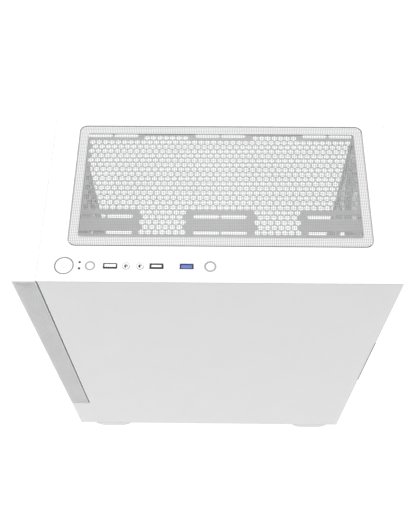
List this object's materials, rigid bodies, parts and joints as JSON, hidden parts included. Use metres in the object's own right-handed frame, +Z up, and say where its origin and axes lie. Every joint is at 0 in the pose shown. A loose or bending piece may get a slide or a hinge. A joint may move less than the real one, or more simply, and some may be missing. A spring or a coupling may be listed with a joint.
{
  "type": "desktop computer tower",
  "caption": "Steel mid-tower computer with a filtered top vent, mesh front, glass side and a top control strip, holding a working desktop computer.",
  "frame": {"origin": "centre of the outer box's footprint, on the surface the feet stand on", "axes": "+Z up, -Y the front with the mesh, +X the plain steel side panel, -X the glass side"},
  "size_m": [0.21, 0.3908, 0.4835],
  "materials": {
    "white_steel": "fine satin powder coat",
    "white_plastic": "satin moulded ABS",
    "mesh_white": "fine painted mesh",
    "tempered_glass": "clear tempered glass",
    "rubber_pad": "matt rubber",
    "black_plastic": "moulded",
    "blue_plastic": "moulded",
    "bare_steel": "nickel plated",
    "aluminium": "machined, fine brushed",
    "circuit_board": "white solder mask",
    "frosted_plastic": "translucent moulded"
  },
  "bodies": {
    "case": {"top_panel": "white_steel", "chassis_floor": "white_steel", "rear_panel": "white_steel", "front_frame": "white_steel", "motherboard_tray": "white_steel", "psu_shroud": "white_steel", "drive_cage": "white_steel", "foot_front_right": "white_plastic", "foot_pad_front_right": "rubber_pad", "foot_front_left": "white_plastic", "foot_pad_front_left": "rubber_pad", "foot_rear_right": "white_plastic", "foot_pad_rear_right": "rubber_pad", "foot_rear_left": "white_plastic", "foot_pad_rear_left": "rubber_pad", "io_board": "circuit_board", "usb_socket_front": "bare_steel", "usb_socket_rear": "bare_steel", "usb3_socket": "blue_plastic", "microphone_jack": "black_plastic", "headphone_jack": "black_plastic", "power_led": "frosted_plastic", "drive_led": "frosted_plastic", "motherboard": "circuit_board", "rear_port_block": "bare_steel", "port_shield": "bare_steel", "power_stage_heatsink": "aluminium", "cpu_cooler_heatsink": "aluminium", "cpu_fan_frame": "white_plastic", "memory_module_a": "aluminium", "memory_module_b": "aluminium", "psu_case": "white_steel", "psu_fan_frame": "white_plastic", "hard_drive": "aluminium", "solid_state_drive": "black_plastic", "front_fan_lower_frame": "white_plastic", "front_fan_upper_frame": "white_plastic", "rear_fan_frame": "white_plastic", "power_cable": "white_plastic"},
    "front_bezel": {"front_bezel": "white_plastic", "front_mesh": "mesh_white"},
    "right_panel": {"right_side_panel": "white_steel"},
    "left_panel": {"left_glass": "tempered_glass", "left_panel_rail": "white_steel"},
    "top_filter": {"top_filter_frame": "white_plastic", "top_filter_mesh": "mesh_white"},
    "psu_filter": {"psu_filter": "white_plastic"},
    "power_button": {"power_button": "white_plastic"},
    "reset_button": {"reset_button": "white_plastic"},
    "light_button": {"light_button": "white_plastic"},
    "front_fan_lower_rotor": {"front_fan_lower_rotor": "frosted_plastic"},
    "front_fan_upper_rotor": {"front_fan_upper_rotor": "frosted_plastic"},
    "rear_fan_rotor": {"rear_fan_rotor": "frosted_plastic"},
    "cpu_fan_rotor": {"cpu_fan_rotor": "frosted_plastic"},
    "psu_fan_rotor": {"psu_fan_rotor": "frosted_plastic"},
    "psu_switch": {"psu_switch": "black_plastic"},
    "right_panel_screw_upper": {"right_panel_screw_upper": "bare_steel"},
    "right_panel_screw_lower": {"right_panel_screw_lower": "bare_steel"},
    "left_panel_screw_upper": {"left_panel_screw_upper": "bare_steel"},
    "left_panel_screw_lower": {"left_panel_screw_lower": "bare_steel"}
  },
  "joints": [
    {"name": "front_bezel_pull", "type": "slide", "parent": "case", "child": "front_bezel", "axis": [0, -1, 0], "range_m": [0, 0.08]},
    {"name": "right_panel_slide", "type": "slide", "parent": "case", "child": "right_panel", "axis": [0, 1, 0], "range_m": [0, 0.39]},
    {"name": "left_panel_slide", "type": "slide", "parent": "case", "child": "left_panel", "axis": [0, 1, 0], "range_m": [0, 0.39]},
    {"name": "top_filter_lift", "type": "slide", "parent": "case", "child": "top_filter", "axis": [0, 0, 1], "range_m": [0, 0.06]},
    {"name": "psu_filter_slide", "type": "slide", "parent": "case", "child": "psu_filter", "axis": [0, 1, 0], "range_m": [0, 0.16]},
    {"name": "power_button_press", "type": "slide", "parent": "case", "child": "power_button", "axis": [0, 0, -1], "range_m": [0, 0.0015], "stiffness_N_per_m": 300, "springref_m": -0.002},
    {"name": "reset_button_press", "type": "slide", "parent": "case", "child": "reset_button", "axis": [0, 0, -1], "range_m": [0, 0.0015], "stiffness_N_per_m": 300, "springref_m": -0.002},
    {"name": "light_button_press", "type": "slide", "parent": "case", "child": "light_button", "axis": [0, 0, -1], "range_m": [0, 0.0015], "stiffness_N_per_m": 300, "springref_m": -0.002},
    {"name": "front_fan_lower_spin", "type": "hinge", "parent": "case", "child": "front_fan_lower_rotor", "pos_m": [0, -0.1556, 0.178], "axis": [0, 1, 0], "continuous": true},
    {"name": "front_fan_upper_spin", "type": "hinge", "parent": "case", "child": "front_fan_upper_rotor", "pos_m": [0, -0.1556, 0.299], "axis": [0, 1, 0], "continuous": true},
    {"name": "rear_fan_spin", "type": "hinge", "parent": "case", "child": "rear_fan_rotor", "pos_m": [-0.036, 0.179, 0.405], "axis": [0, 1, 0], "continuous": true},
    {"name": "cpu_fan_spin", "type": "hinge", "parent": "case", "child": "cpu_fan_rotor", "pos_m": [0.016, 0.105, 0.35], "axis": [1, 0, 0], "continuous": true},
    {"name": "psu_fan_spin", "type": "hinge", "parent": "case", "child": "psu_fan_rotor", "pos_m": [0.003, 0.1202, 0.0324], "axis": [0, 0, 1], "continuous": true},
    {"name": "psu_switch_rock", "type": "hinge", "parent": "case", "child": "psu_switch", "pos_m": [-0.038, 0.1881, 0.042], "axis": [-1, 0, 0], "range_deg": [0, 16]},
    {"name": "right_panel_screw_lower_turn", "type": "hinge", "parent": "right_panel", "child": "right_panel_screw_lower", "pos_m": [0.097, 0.1926, 0.04], "axis": [0, 1, 0], "continuous": true},
    {"name": "right_panel_screw_upper_turn", "type": "hinge", "parent": "right_panel", "child": "right_panel_screw_upper", "pos_m": [0.097, 0.1926, 0.471], "axis": [0, 1, 0], "continuous": true},
    {"name": "left_panel_screw_lower_turn", "type": "hinge", "parent": "left_panel", "child": "left_panel_screw_lower", "pos_m": [-0.097, 0.1926, 0.04], "axis": [0, 1, 0], "continuous": true},
    {"name": "left_panel_screw_upper_turn", "type": "hinge", "parent": "left_panel", "child": "left_panel_screw_upper", "pos_m": [-0.097, 0.1926, 0.471], "axis": [0, 1, 0], "continuous": true}
  ]
}
